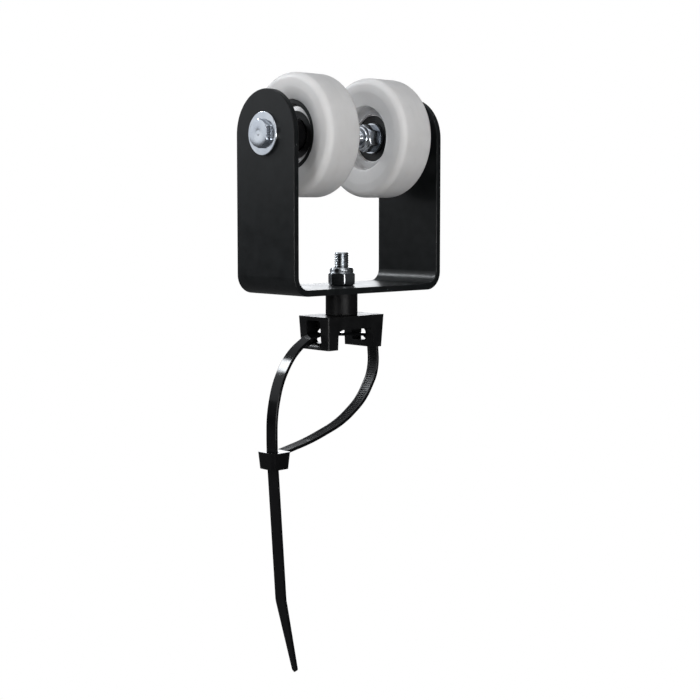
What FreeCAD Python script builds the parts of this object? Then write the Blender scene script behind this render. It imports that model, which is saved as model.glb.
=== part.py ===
import FreeCAD, Part
import math
import os

# Beam trolley with a cable-tie hanger. Two nylon wheels run on the bottom flanges of an
# I-section rail, a U bracket hangs from their axles, and a saddle under the bracket holds
# a heavy cable tie. Millimetres, +X along the rail, +Y across it, +Z up. The origin is
# midway between the wheels, on the surface that they roll on. Left is +Y, right is -Y.

# ---- driving dimensions ---------------------------------------------------------------

STRAP_WIDTH = 45.0  # flat steel strap that the bracket is bent from
STRAP_THICKNESS = 3.2
BRACKET_SPAN = 105.0  # over the outer faces of the two legs
BEND_RADIUS = 6.5  # inside of each bend
AXLE_ABOVE_BASE = 81.3  # axle line above the bracket's underside
EDGE_BREAK = 0.4  # small rounding on cut steel edges

WHEEL_RADIUS = 31.75
WHEEL_OUTER_FACE = 37.0  # distances from the rail's centre plane, outwards
WHEEL_INNER_FACE = 14.8
WHEEL_SHOULDER = 3.6
HUB_RECESS_RADIUS = 18.0
NUT_RECESS_RADIUS = 17.0
NUT_RECESS_FLOOR = 21.5
LIP_RADIUS = 12.6  # lip that stops the bearing
LIP_ROUNDING = 0.4
NUT_RECESS_ROUNDING = 0.8
RECESS_MOUTH_ROUNDING = 0.6
DISH_RADIUS = 24.5  # each wheel face is dished inside this
DISH_DEPTH = 1.2
DISH_BLEND = 8.0

BEARING_OUTER_FACE = 32.0
BEARING_INNER_FACE = 23.0
BEARING_RADIUS = 15.0
BEARING_BORE_RADIUS = 5.0
INNER_RACE_RADIUS = 8.4
OUTER_RACE_BORE = 11.9
SEAL_SEAT_RADIUS = 12.3
SEAL_BORE_RADIUS = 8.7
BALL_COUNT = 8
BALL_RADIUS = 2.38
BALL_PITCH_RADIUS = 10.0
RACE_GROOVE_RADIUS = 2.44
CAGE_POCKET_RADIUS = 2.5

THREAD_RADIUS = 4.0  # M8 fasteners
NUT_BORE_RADIUS = 4.03
HEX_ACROSS_FLATS = 13.0
NUT_HEIGHT = 9.5
NUT_HEX_HEIGHT = 6.6
AXLE_HEAD_HEIGHT = 2.6
AXLE_BOLT_LENGTH = 45.0
HANGER_HEAD_HEIGHT = 5.3
HANGER_BOLT_LENGTH = 35.0
OUTER_WASHER_RADIUS = 11.0
INNER_WASHER_RADIUS = 8.0
WASHER_THICKNESS = 1.6
CLEARANCE_HOLE_RADIUS = 4.25
SWIVEL_HOLE_RADIUS = 4.08
HEAD_FACE_RADIUS = 6.9  # flat circle inside a bolt head's chamfer
BOLT_TIP = 0.8
NUT_COLLAR_RADIUS = 6.3
NUT_COLLAR_ROUNDING = 1.2
NUT_RING_RADIUS = 5.0
NUT_RING_HEIGHT = 2.0
NUT_RING_BELOW_TOP = 0.9
SWIVEL_GAP = 0.08  # end play of the swivelling hanger

SLEEVE_RADIUS = 8.0  # spacer between leg and bearing
SLEEVE_ROUNDING = 0.3
HANGER_SLEEVE_RADIUS = 8.5
HANGER_SLEEVE_BORE = 4.2

SADDLE_LENGTH = 40.6  # along Y, at the top
SADDLE_WIDTH = 23.6  # along X, at the top
SADDLE_HEIGHT = 17.4
SADDLE_DROP = 12.5  # top of the saddle below the bracket's underside
SADDLE_DRAFT = 0.9  # how far each side leans in by the bottom
SADDLE_CORNER = 1.0
SADDLE_ARCH_HALF_LENGTH = 12.5
SADDLE_ROOF = 7.0
SADDLE_ARCH_FILLET = 3.5
WINDOW_HALF_WIDTH = 5.4
WINDOW_TOP = 2.0  # below the saddle's top
WINDOW_SILL = 3.3  # height of the bar under each window
WINDOW_CORNER = 1.5
SILL_ROUNDING = 3.0
POCKET_ACROSS_FLATS = 13.1  # hexagonal pocket that holds the hanger bolt's head

TIE_WIDTH = 7.6
TIE_THICKNESS = 1.6
TIE_TIP_WIDTH = 3.4
TIE_TIP_LENGTH = 38.0
TIE_HEAD_WIDTH = 13.4
TIE_HEAD_LENGTH = 12.2
TIE_HEAD_HEIGHT = 8.8
TIE_HEAD_TAPER = 0.7  # how far each side leans in by the bottom
TIE_HEAD_CORNER = 2.0
TIE_HEAD_INNER_FACE = -41.0  # the face that the strap grows from
TIE_SLOT_THICKNESS = 2.6
TIE_SLOT_WIDTH = 8.4
PAWL_WIDTH = 5.2
PAWL_SPACE_WIDTH = 6.0
PAWL_SPACE_DEPTH = 2.6  # measured from the slot
PAWL_ROOF = 1.6  # solid top above the pawl's space
PAWL_TIP_HEIGHT = 1.2  # end of the pawl above the head's bottom

# ---- places worked out from the driving dimensions ------------------------------------

AXLE = FreeCAD.Vector(0, 0, WHEEL_RADIUS)
ACROSS = FreeCAD.Vector(0, 1, 0)
UP = FreeCAD.Vector(0, 0, 1)
BEARING_MIDDLE = (BEARING_OUTER_FACE + BEARING_INNER_FACE) / 2
LEG_OUTER_FACE = BRACKET_SPAN / 2
LEG_INNER_FACE = LEG_OUTER_FACE - STRAP_THICKNESS
BASE_UNDERSIDE = WHEEL_RADIUS - AXLE_ABOVE_BASE
BASE_TOP = BASE_UNDERSIDE + STRAP_THICKNESS
SADDLE_TOP = BASE_UNDERSIDE - SADDLE_DROP
SADDLE_BOTTOM = SADDLE_TOP - SADDLE_HEIGHT
SADDLE_CEILING = SADDLE_TOP - SADDLE_ROOF
SILL_TOP = SADDLE_BOTTOM + WINDOW_SILL

# The tie's centre line in the Y-Z plane, from its head round the loop to its tip. Z is
# measured from the bracket's underside. The first point is just inside the head, where the
# strap is trimmed flush with the head's face.
TIE_ROUTE = [
    (-41.8, -81.0),
    (-23.6, -77.4),
    (-0.9, -70.0),
    (14.4, -59.2),
    (22.3, -46.5),
    (23.7, -38.9),
    (22.5, -24.2),
    (-20.4, -21.5),
    (-35.0, -30.2),
    (-44.1, -44.0),
    (-48.4, -60.9),
    (-48.5, -80.1),
    (-42.9, -158.6),
    (-33.2, -198.8),
]
TIE_SADDLE_BEND = 6  # the point where the strap turns down round the window's sill
TIE_SADDLE_BEND_RADIUS = 7.0
TIE_KINK = 12  # the point where the tapered tip begins
TIE_KINK_RADIUS = 14.0
TIE_HEAD_POINT = 11  # the point where the strap enters the head
TIE_BEND_SHARE = 0.45  # share of each straight run that an ordinary bend takes up


# ---- helpers --------------------------------------------------------------------------


def plane_point(across, up):
    return FreeCAD.Vector(0, across, up)


def rounded_edges(points, radii):
    """A closed outline in the Y-Z plane: straight edges with a tangent arc at each corner."""
    count = len(points)
    starts = list(points)
    ends = list(points)
    edges = []
    for i in range(count):
        if radii[i] <= 0:
            continue
        here = points[i]
        back = (points[i - 1] - here).normalize()
        ahead = (points[(i + 1) % count] - here).normalize()
        half_angle = back.getAngle(ahead) / 2
        reach = radii[i] / math.tan(half_angle)
        to_arc = radii[i] / math.sin(half_angle) - radii[i]
        starts[i] = here + back * reach
        ends[i] = here + ahead * reach
        middle = here + (back + ahead).normalize() * to_arc
        edges.append(Part.Arc(starts[i], middle, ends[i]).toShape())
    for i in range(count):
        following = starts[(i + 1) % count]
        if ends[i].distanceToPoint(following) > 1e-6:
            edges.append(Part.LineSegment(ends[i], following).toShape())
    return Part.__sortEdges__(edges)


def turned(profile):
    """A body of revolution about the axle. Each corner is (radius, distance out, rounding)."""
    points = [plane_point(corner[1], WHEEL_RADIUS + corner[0]) for corner in profile]
    radii = [corner[2] if len(corner) > 2 else 0 for corner in profile]
    face = Part.Face(Part.Wire(rounded_edges(points, radii)))
    return face.revolve(AXLE, ACROSS, 360)


def tube(outer, inner, near, far):
    """A ring about the axle between two distances from the centre plane."""
    return turned([(inner, near), (outer, near), (outer, far), (inner, far)])


def hex_prism(across_flats, height):
    """A hexagonal prism standing on the origin along +Z, with flats facing +X and -X."""
    corner_radius = across_flats / math.sqrt(3)
    corners = []
    for i in range(7):
        angle = math.radians(30 + 60 * i)
        corners.append(
            FreeCAD.Vector(corner_radius * math.cos(angle), corner_radius * math.sin(angle), 0)
        )
    return Part.Face(Part.makePolygon(corners)).extrude(UP * height)


def chamfered_top(solid, height, face_radius):
    """Cuts a solid's top corners back with the 30-degree cone that bolt heads and nuts have."""
    slope = math.tan(math.radians(30))
    foot_radius = face_radius + height / slope
    cone = Part.makeCone(foot_radius, face_radius, height)
    return solid.common(cone)


def hex_bolt(head_height, length):
    """An M8 bolt with its head's underside on the origin and its head along +Z."""
    hexagon = hex_prism(HEX_ACROSS_FLATS, head_height)
    head = chamfered_top(hexagon, head_height, HEAD_FACE_RADIUS)
    shank = Part.makeCylinder(THREAD_RADIUS, length - BOLT_TIP)
    shank.translate(UP * (BOLT_TIP - length))
    end = Part.makeCone(THREAD_RADIUS - BOLT_TIP, THREAD_RADIUS, BOLT_TIP)
    end.translate(UP * -length)
    return head.fuse(shank).fuse(end).removeSplitter()


def lock_nut():
    """A tall M8 lock nut on the origin along +Z: hexagon, rounded collar, groove for its ring."""
    hexagon = chamfered_top(
        hex_prism(HEX_ACROSS_FLATS, NUT_HEX_HEIGHT), NUT_HEX_HEIGHT, HEX_ACROSS_FLATS / 2
    )
    collar = Part.makeCylinder(NUT_COLLAR_RADIUS, NUT_HEIGHT)
    top_edge = max(collar.Edges, key=lambda edge: edge.CenterOfMass.z)
    collar = collar.makeFillet(NUT_COLLAR_ROUNDING, [top_edge])
    bore = Part.makeCylinder(NUT_BORE_RADIUS, NUT_HEIGHT)
    return hexagon.fuse(collar).removeSplitter().cut(bore).cut(nut_ring_shape())


def nut_ring_shape():
    """The polymer locking ring, held near the top of a lock nut."""
    ring = Part.makeCylinder(NUT_RING_RADIUS, NUT_RING_HEIGHT)
    ring = ring.cut(Part.makeCylinder(NUT_BORE_RADIUS, NUT_RING_HEIGHT))
    ring.translate(UP * (NUT_HEIGHT - NUT_RING_BELOW_TOP - NUT_RING_HEIGHT))
    return ring


def along_axle(solid, distance_out, towards_centre=False):
    """Turns a solid that stands along +Z so that it lies on the left axle, head outwards."""
    placed = solid.copy()
    placed.rotate(FreeCAD.Vector(0, 0, 0), FreeCAD.Vector(1, 0, 0), 90 if towards_centre else -90)
    placed.translate(AXLE + ACROSS * distance_out)
    return placed


def box_between(low, high):
    size = [high[i] - low[i] for i in range(3)]
    return Part.makeBox(size[0], size[1], size[2], FreeCAD.Vector(*low))


def tapered_block(half_size, centre, bottom, top, taper):
    """A block whose four sides lean in evenly towards its bottom."""
    outlines = []
    for height, inset in ((bottom, taper), (top, 0)):
        reach_x = half_size[0] - inset
        reach_y = half_size[1] - inset
        corners = []
        for sign_x, sign_y in ((-1, -1), (1, -1), (1, 1), (-1, 1), (-1, -1)):
            corners.append(
                FreeCAD.Vector(centre[0] + sign_x * reach_x, centre[1] + sign_y * reach_y, height)
            )
        outlines.append(Part.makePolygon(corners))
    return Part.makeLoft(outlines, True, True)


def edges_where(solid, test):
    return [edge for edge in solid.Edges if test(edge)]


def rounded_uprights(solid, radius):
    """Rounds a block's four upright edges."""
    height = solid.BoundBox.ZLength
    uprights = edges_where(solid, lambda edge: edge.BoundBox.ZLength > height / 2)
    return solid.makeFillet(radius, uprights)


# ---- bracket --------------------------------------------------------------------------


def bracket():
    """The U-shaped strap: two legs with round tops, two bends and the bottom plate."""
    leg_top = WHEEL_RADIUS + STRAP_WIDTH / 2
    outside = BEND_RADIUS + STRAP_THICKNESS
    section = [
        (-LEG_OUTER_FACE, leg_top, 0),
        (-LEG_OUTER_FACE, BASE_UNDERSIDE, outside),
        (LEG_OUTER_FACE, BASE_UNDERSIDE, outside),
        (LEG_OUTER_FACE, leg_top, 0),
        (LEG_INNER_FACE, leg_top, 0),
        (LEG_INNER_FACE, BASE_TOP, BEND_RADIUS),
        (-LEG_INNER_FACE, BASE_TOP, BEND_RADIUS),
        (-LEG_INNER_FACE, leg_top, 0),
    ]
    points = [plane_point(corner[0], corner[1]) for corner in section]
    edges = rounded_edges(points, [corner[2] for corner in section])
    strap = Part.Face(Part.Wire(edges)).extrude(FreeCAD.Vector(STRAP_WIDTH, 0, 0))
    strap.translate(FreeCAD.Vector(-STRAP_WIDTH / 2, 0, 0))
    side_view = box_between(
        (-STRAP_WIDTH / 2, -LEG_OUTER_FACE, BASE_UNDERSIDE),
        (STRAP_WIDTH / 2, LEG_OUTER_FACE, WHEEL_RADIUS),
    )
    round_tops = Part.makeCylinder(
        STRAP_WIDTH / 2, BRACKET_SPAN, AXLE - ACROSS * LEG_OUTER_FACE, ACROSS
    )
    strap = strap.common(side_view.fuse(round_tops)).removeSplitter()
    strap = strap.makeFillet(EDGE_BREAK, edges_where(strap, is_cut_edge))
    axle_holes = Part.makeCylinder(
        CLEARANCE_HOLE_RADIUS, BRACKET_SPAN, AXLE - ACROSS * LEG_OUTER_FACE, ACROSS
    )
    hanger_hole = Part.makeCylinder(
        SWIVEL_HOLE_RADIUS, STRAP_THICKNESS, FreeCAD.Vector(0, 0, BASE_UNDERSIDE), UP
    )
    return strap.cut(axle_holes).cut(hanger_hole)


def is_cut_edge(edge):
    """True for the long edges of the strap, where its wide faces meet its cut sides."""
    box = edge.BoundBox
    runs_across_strap = box.XLength > STRAP_WIDTH - 1 and box.YLength < 0.1 and box.ZLength < 0.1
    runs_through_leg = box.XLength < 0.1 and box.ZLength < 0.1
    return not runs_across_strap and not runs_through_leg


# ---- wheel, bearing and axle set, modelled on the left --------------------------------


def wheel():
    """The nylon wheel: rounded tread, shallow dished face, seat for the bearing, nut recess."""
    return turned(
        [
            (LIP_RADIUS, BEARING_INNER_FACE),
            (LIP_RADIUS, NUT_RECESS_FLOOR, LIP_ROUNDING),
            (NUT_RECESS_RADIUS, NUT_RECESS_FLOOR, NUT_RECESS_ROUNDING),
            (NUT_RECESS_RADIUS, WHEEL_INNER_FACE + DISH_DEPTH, RECESS_MOUTH_ROUNDING),
            (DISH_RADIUS, WHEEL_INNER_FACE, DISH_BLEND),
            (WHEEL_RADIUS, WHEEL_INNER_FACE, WHEEL_SHOULDER),
            (WHEEL_RADIUS, WHEEL_OUTER_FACE, WHEEL_SHOULDER),
            (DISH_RADIUS, WHEEL_OUTER_FACE, DISH_BLEND),
            (HUB_RECESS_RADIUS, WHEEL_OUTER_FACE - DISH_DEPTH, RECESS_MOUTH_ROUNDING),
            (HUB_RECESS_RADIUS, BEARING_OUTER_FACE),
            (BEARING_RADIUS, BEARING_OUTER_FACE),
            (BEARING_RADIUS, BEARING_INNER_FACE),
        ]
    )


def bearing_retainer():
    """The black ring pressed into the wheel's recess, which holds the bearing in its seat."""
    depth = 3.2
    bore = BEARING_RADIUS - 0.3
    chamfer = 0.8
    outer_rounding = 0.3
    inner_rounding = 0.5
    return turned(
        [
            (bore, BEARING_OUTER_FACE),
            (HUB_RECESS_RADIUS, BEARING_OUTER_FACE),
            (HUB_RECESS_RADIUS, BEARING_OUTER_FACE + depth, outer_rounding),
            (bore + chamfer, BEARING_OUTER_FACE + depth, inner_rounding),
            (bore, BEARING_OUTER_FACE + chamfer),
        ]
    )


def race_groove():
    """The torus that the balls run in."""
    torus = Part.makeTorus(BALL_PITCH_RADIUS, RACE_GROOVE_RADIUS)
    torus.rotate(FreeCAD.Vector(0, 0, 0), FreeCAD.Vector(1, 0, 0), 90)
    torus.translate(AXLE + ACROSS * BEARING_MIDDLE)
    return torus


def outer_race():
    seat_depth = 1.1
    edge_rounding = 0.5
    ring = turned(
        [
            (BEARING_RADIUS, BEARING_INNER_FACE, edge_rounding),
            (BEARING_RADIUS, BEARING_OUTER_FACE, edge_rounding),
            (SEAL_SEAT_RADIUS, BEARING_OUTER_FACE),
            (SEAL_SEAT_RADIUS, BEARING_OUTER_FACE - seat_depth),
            (OUTER_RACE_BORE, BEARING_OUTER_FACE - seat_depth),
            (OUTER_RACE_BORE, BEARING_INNER_FACE + seat_depth),
            (SEAL_SEAT_RADIUS, BEARING_INNER_FACE + seat_depth),
            (SEAL_SEAT_RADIUS, BEARING_INNER_FACE),
        ]
    )
    return ring.cut(race_groove())


def inner_race():
    ring = tube(INNER_RACE_RADIUS, BEARING_BORE_RADIUS, BEARING_INNER_FACE, BEARING_OUTER_FACE)
    return ring.cut(race_groove())


def bearing_seals():
    """The two rubber seals, one sunk in each end of the outer race."""
    inset = 0.3
    thickness = 0.7
    outer = tube(
        SEAL_SEAT_RADIUS,
        SEAL_BORE_RADIUS,
        BEARING_OUTER_FACE - inset - thickness,
        BEARING_OUTER_FACE - inset,
    )
    inner = tube(
        SEAL_SEAT_RADIUS,
        SEAL_BORE_RADIUS,
        BEARING_INNER_FACE + inset,
        BEARING_INNER_FACE + inset + thickness,
    )
    return Part.makeCompound([outer, inner])


def ball_directions():
    """The direction from the axle to each ball."""
    angles = [2 * math.pi * i / BALL_COUNT for i in range(BALL_COUNT)]
    return [FreeCAD.Vector(math.cos(angle), 0, math.sin(angle)) for angle in angles]


def bearing_balls():
    bearing_centre = AXLE + ACROSS * BEARING_MIDDLE
    balls = []
    for direction in ball_directions():
        balls.append(Part.makeSphere(BALL_RADIUS, bearing_centre + direction * BALL_PITCH_RADIUS))
    return Part.makeCompound(balls)


def bearing_cage():
    """The ring that keeps the balls apart, with a round hole for each."""
    half_width = 2.9
    half_wall = 0.8
    ring = tube(
        BALL_PITCH_RADIUS + half_wall,
        BALL_PITCH_RADIUS - half_wall,
        BEARING_MIDDLE - half_width,
        BEARING_MIDDLE + half_width,
    )
    bearing_centre = AXLE + ACROSS * BEARING_MIDDLE
    for direction in ball_directions():
        hole_start = bearing_centre + direction * INNER_RACE_RADIUS
        ring = ring.cut(Part.makeCylinder(CAGE_POCKET_RADIUS, OUTER_RACE_BORE, hole_start, direction))
    return ring


def hub_sleeve():
    """The spacer between leg and bearing, stepped down to fill the inner race's bore."""
    spigot_gap = 0.4
    spigot_end = BEARING_INNER_FACE + spigot_gap
    return turned(
        [
            (CLEARANCE_HOLE_RADIUS, spigot_end),
            (BEARING_BORE_RADIUS, spigot_end),
            (BEARING_BORE_RADIUS, BEARING_OUTER_FACE),
            (SLEEVE_RADIUS, BEARING_OUTER_FACE, SLEEVE_ROUNDING),
            (SLEEVE_RADIUS, LEG_INNER_FACE, SLEEVE_ROUNDING),
            (CLEARANCE_HOLE_RADIUS, LEG_INNER_FACE),
        ]
    )


def washer(radius, inner_side):
    edge_rounding = 0.35
    outer_side = inner_side + WASHER_THICKNESS
    return turned(
        [
            (CLEARANCE_HOLE_RADIUS, inner_side),
            (radius, inner_side),
            (radius, outer_side, edge_rounding),
            (CLEARANCE_HOLE_RADIUS, outer_side),
        ]
    )


def axle_set():
    """Every piece of one side's wheel and axle, by node name, on the left."""
    head_seat = LEG_OUTER_FACE + WASHER_THICKNESS
    nut_seat = BEARING_INNER_FACE - WASHER_THICKNESS
    return {
        "axle_bolt": along_axle(hex_bolt(AXLE_HEAD_HEIGHT, AXLE_BOLT_LENGTH), head_seat),
        "outer_washer": washer(OUTER_WASHER_RADIUS, LEG_OUTER_FACE),
        "hub_sleeve": hub_sleeve(),
        "wheel": wheel(),
        "bearing_retainer": bearing_retainer(),
        "bearing_outer_race": outer_race(),
        "bearing_inner_race": inner_race(),
        "bearing_seals": bearing_seals(),
        "bearing_balls": bearing_balls(),
        "bearing_cage": bearing_cage(),
        "inner_washer": washer(INNER_WASHER_RADIUS, nut_seat),
        "axle_lock_nut": along_axle(lock_nut(), nut_seat, towards_centre=True),
        "axle_nut_ring": along_axle(nut_ring_shape(), nut_seat, towards_centre=True),
    }


# ---- hanger: bolt, nut, sleeve and saddle ---------------------------------------------


def hanger_bolt():
    bolt = hex_bolt(HANGER_HEAD_HEIGHT, HANGER_BOLT_LENGTH)
    bolt.rotate(FreeCAD.Vector(0, 0, 0), FreeCAD.Vector(1, 0, 0), 180)
    bolt.translate(UP * (SADDLE_CEILING + HANGER_HEAD_HEIGHT))
    return bolt


def hanger_lock_nut():
    return lock_nut().translate(UP * (BASE_TOP + SWIVEL_GAP))


def hanger_nut_ring():
    return nut_ring_shape().translate(UP * (BASE_TOP + SWIVEL_GAP))


def hanger_sleeve():
    length = SADDLE_DROP - SWIVEL_GAP
    sleeve = Part.makeCylinder(HANGER_SLEEVE_RADIUS, length)
    ends = edges_where(sleeve, lambda edge: edge.BoundBox.ZLength < 0.1)
    sleeve = sleeve.makeFillet(SLEEVE_ROUNDING, ends)
    sleeve = sleeve.cut(Part.makeCylinder(HANGER_SLEEVE_BORE, length))
    sleeve.translate(UP * SADDLE_TOP)
    return sleeve


def saddle_arch():
    """The arch between the saddle's end blocks, open to both sides along X."""
    reach = SADDLE_ARCH_HALF_LENGTH
    below = SADDLE_BOTTOM - 1
    corners = [
        plane_point(-reach, below),
        plane_point(reach, below),
        plane_point(reach, SADDLE_CEILING),
        plane_point(-reach, SADDLE_CEILING),
    ]
    radii = [0, 0, SADDLE_ARCH_FILLET, SADDLE_ARCH_FILLET]
    face = Part.Face(Part.Wire(rounded_edges(corners, radii)))
    arch = face.extrude(FreeCAD.Vector(SADDLE_WIDTH, 0, 0))
    arch.translate(FreeCAD.Vector(-SADDLE_WIDTH / 2, 0, 0))
    strap_passage = box_between(
        (-WINDOW_HALF_WIDTH, -reach, SILL_TOP), (WINDOW_HALF_WIDTH, reach, SADDLE_CEILING)
    )
    return arch.fuse(strap_passage)


def saddle_windows():
    """A window through each end block along Y, whose sill is rounded on the outside."""
    windows = []
    half_length = SADDLE_LENGTH / 2
    sill_face = half_length - SADDLE_DRAFT
    for side in (-1, 1):
        low_y = min(side * SADDLE_ARCH_HALF_LENGTH, side * half_length)
        high_y = max(side * SADDLE_ARCH_HALF_LENGTH, side * half_length)
        window = box_between(
            (-WINDOW_HALF_WIDTH, low_y, SILL_TOP),
            (WINDOW_HALF_WIDTH, high_y, SADDLE_TOP - WINDOW_TOP),
        )
        corners = edges_where(window, lambda edge: edge.BoundBox.YLength > 1)
        windows.append(window.makeFillet(WINDOW_CORNER, corners))
        centre_y = side * (sill_face - SILL_ROUNDING)
        corner = box_between(
            (-WINDOW_HALF_WIDTH, min(centre_y, side * half_length), SILL_TOP - SILL_ROUNDING),
            (WINDOW_HALF_WIDTH, max(centre_y, side * half_length), SILL_TOP + WINDOW_CORNER),
        )
        roll = Part.makeCylinder(
            SILL_ROUNDING,
            SADDLE_WIDTH,
            FreeCAD.Vector(-SADDLE_WIDTH / 2, centre_y, SILL_TOP - SILL_ROUNDING),
            FreeCAD.Vector(1, 0, 0),
        )
        windows.append(corner.cut(roll))
    return windows


def tie_saddle():
    """The moulded saddle: two windowed end blocks, an arch, and a hub round the bolt's head."""
    body = tapered_block(
        (SADDLE_WIDTH / 2, SADDLE_LENGTH / 2), (0, 0), SADDLE_BOTTOM, SADDLE_TOP, SADDLE_DRAFT
    )
    body = rounded_uprights(body, SADDLE_CORNER)
    body = body.cut(saddle_arch())
    for window in saddle_windows():
        body = body.cut(window)
    pocket = hex_prism(POCKET_ACROSS_FLATS, HANGER_HEAD_HEIGHT)
    pocket.translate(UP * SADDLE_CEILING)
    bolt_hole = Part.makeCylinder(
        CLEARANCE_HOLE_RADIUS, SADDLE_ROOF, FreeCAD.Vector(0, 0, SADDLE_CEILING), UP
    )
    return body.cut(pocket).cut(bolt_hole).removeSplitter()


# ---- cable tie ------------------------------------------------------------------------


def tie_points():
    return [plane_point(y, BASE_UNDERSIDE + z) for y, z in TIE_ROUTE]


def tie_radii(points):
    """As large an arc at each point as its two runs allow, but tighter at the two sharp bends."""
    radii = [0]
    for i in range(1, len(points) - 1):
        back = points[i - 1] - points[i]
        ahead = points[i + 1] - points[i]
        half_turn = (math.pi - back.getAngle(ahead)) / 2
        radii.append(TIE_BEND_SHARE * min(back.Length, ahead.Length) / math.tan(half_turn))
    radii.append(0)
    radii[TIE_SADDLE_BEND] = TIE_SADDLE_BEND_RADIUS
    radii[TIE_KINK] = TIE_KINK_RADIUS
    return radii


def offset_route(points, radii, distance):
    """The route moved sideways by a distance, with each arc kept concentric."""
    moved = []
    moved_radii = []
    normals = []
    for i in range(len(points) - 1):
        run = (points[i + 1] - points[i]).normalize()
        normals.append(FreeCAD.Vector(0, -run.z, run.y))
    for i in range(len(points)):
        first = normals[max(i - 1, 0)]
        second = normals[min(i, len(normals) - 1)]
        middle = (first + second).normalize()
        moved.append(points[i] + middle * (distance / middle.dot(first)))
        turn = first.y * second.z - first.z * second.y
        if radii[i] == 0:
            moved_radii.append(0)
        elif turn > 0:
            moved_radii.append(radii[i] - distance)
        else:
            moved_radii.append(radii[i] + distance)
    return moved, moved_radii


def tie_strap():
    """The flat strap, from the head round the loop, down through the head and to its tip."""
    points = tie_points()
    radii = tie_radii(points)
    one_side, one_radii = offset_route(points, radii, TIE_THICKNESS / 2)
    other_side, other_radii = offset_route(points, radii, -TIE_THICKNESS / 2)
    corners = one_side + other_side[::-1]
    corner_radii = one_radii + other_radii[::-1]
    face = Part.Face(Part.Wire(rounded_edges(corners, corner_radii)))
    strap = face.extrude(FreeCAD.Vector(TIE_WIDTH, 0, 0))
    strap.translate(FreeCAD.Vector(-TIE_WIDTH / 2, 0, 0))
    for side in (-1, 1):
        strap = strap.cut(tip_trim(points[-1], side))
    root_trim = box_between(
        (-TIE_WIDTH, points[0].y - 1, points[0].z - TIE_THICKNESS),
        (TIE_WIDTH, TIE_HEAD_INNER_FACE, points[0].z + TIE_THICKNESS),
    )
    return strap.cut(root_trim)


def tip_trim(tip, side):
    """The wedge cut from one edge of the strap, so that its tip tapers."""
    full = side * TIE_WIDTH / 2
    narrow = side * TIE_TIP_WIDTH / 2
    beyond = side * TIE_WIDTH
    depth = 30.0
    start_z = tip.z + TIE_TIP_LENGTH
    end_z = tip.z - 1
    corners = [
        FreeCAD.Vector(full, tip.y - depth / 2, start_z),
        FreeCAD.Vector(beyond, tip.y - depth / 2, start_z),
        FreeCAD.Vector(beyond, tip.y - depth / 2, end_z),
        FreeCAD.Vector(narrow, tip.y - depth / 2, end_z),
    ]
    corners.append(corners[0])
    return Part.Face(Part.makePolygon(corners)).extrude(ACROSS * depth)


def tie_head():
    """The tie's head: a rounded block with the slot that the strap passes, and its pawl."""
    top = tie_points()[0].z + TIE_THICKNESS / 2
    bottom = top - TIE_HEAD_HEIGHT
    middle_y = TIE_HEAD_INNER_FACE - TIE_HEAD_LENGTH / 2
    head = tapered_block(
        (TIE_HEAD_WIDTH / 2, TIE_HEAD_LENGTH / 2), (0, middle_y), bottom, top, TIE_HEAD_TAPER
    )
    head = rounded_uprights(head, TIE_HEAD_CORNER)
    slot_middle = (tie_centre_at(top) + tie_centre_at(bottom)) / 2
    half_slot = TIE_SLOT_THICKNESS / 2
    slot = box_between(
        (-TIE_SLOT_WIDTH / 2, slot_middle - half_slot, bottom),
        (TIE_SLOT_WIDTH / 2, slot_middle + half_slot, top),
    )
    return head.cut(slot).cut(pawl_space(slot_middle + half_slot, bottom, top - PAWL_ROOF))


def pawl_space(slot_side, bottom, roof):
    """The hollow round the pawl, a sprung tongue that hangs beside the strap."""
    root_thickness = 1.4
    tip_thickness = 1.2
    side_gap = 0.1
    back_gap = 0.3
    tip_z = bottom + PAWL_TIP_HEIGHT
    root_back = slot_side + PAWL_SPACE_DEPTH - back_gap
    outline = [
        plane_point(root_back - root_thickness, roof),
        plane_point(root_back, roof),
        plane_point(slot_side + side_gap + tip_thickness, tip_z),
        plane_point(slot_side + side_gap, tip_z),
    ]
    outline.append(outline[0])
    tongue = Part.Face(Part.makePolygon(outline)).extrude(FreeCAD.Vector(PAWL_WIDTH, 0, 0))
    tongue.translate(FreeCAD.Vector(-PAWL_WIDTH / 2, 0, 0))
    hollow = box_between(
        (-PAWL_SPACE_WIDTH / 2, slot_side, bottom),
        (PAWL_SPACE_WIDTH / 2, slot_side + PAWL_SPACE_DEPTH, roof),
    )
    return hollow.cut(tongue)


def tie_centre_at(height):
    """How far across the hanging tail's centre line is at a height below the head's entry."""
    points = tie_points()
    entry = points[TIE_HEAD_POINT]
    kink = points[TIE_KINK]
    share = (entry.z - height) / (entry.z - kink.z)
    return entry.y + share * (kink.y - entry.y)


# ---- files ----------------------------------------------------------------------------


def write(name, shape):
    shape.exportStep(os.path.join("parts", name + ".step"))
    box = shape.BoundBox
    size = "%.1f x %.1f x %.1f" % (box.XLength, box.YLength, box.ZLength)
    print("%-26s %2d solids  %s  valid %s" % (name, len(shape.Solids), size, shape.isValid()))


def main():
    os.makedirs("parts", exist_ok=True)
    write("bracket", bracket())
    for name, shape in axle_set().items():
        write(name + "_left", shape)
        write(name + "_right", shape.mirror(FreeCAD.Vector(0, 0, 0), ACROSS))
    write("hanger_bolt", hanger_bolt())
    write("hanger_lock_nut", hanger_lock_nut())
    write("hanger_nut_ring", hanger_nut_ring())
    write("hanger_sleeve", hanger_sleeve())
    write("tie_saddle", tie_saddle())
    write("tie_strap", tie_strap())
    write("tie_head", tie_head())


main()
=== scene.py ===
# %% [markdown]
# # A beam trolley with a cable-tie hanger
# Two plastic wheels run on the bottom flanges of an I-section rail. A black steel strap is
# bent into a U and hangs from the two axles. Under it a bolt holds a small moulded saddle,
# and a heavy cable tie loops through the saddle.
#
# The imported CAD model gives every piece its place, so this lesson starts by loading it. The
# CAD box is kept, to compare with the finished model at the end.

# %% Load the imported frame
import math

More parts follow.
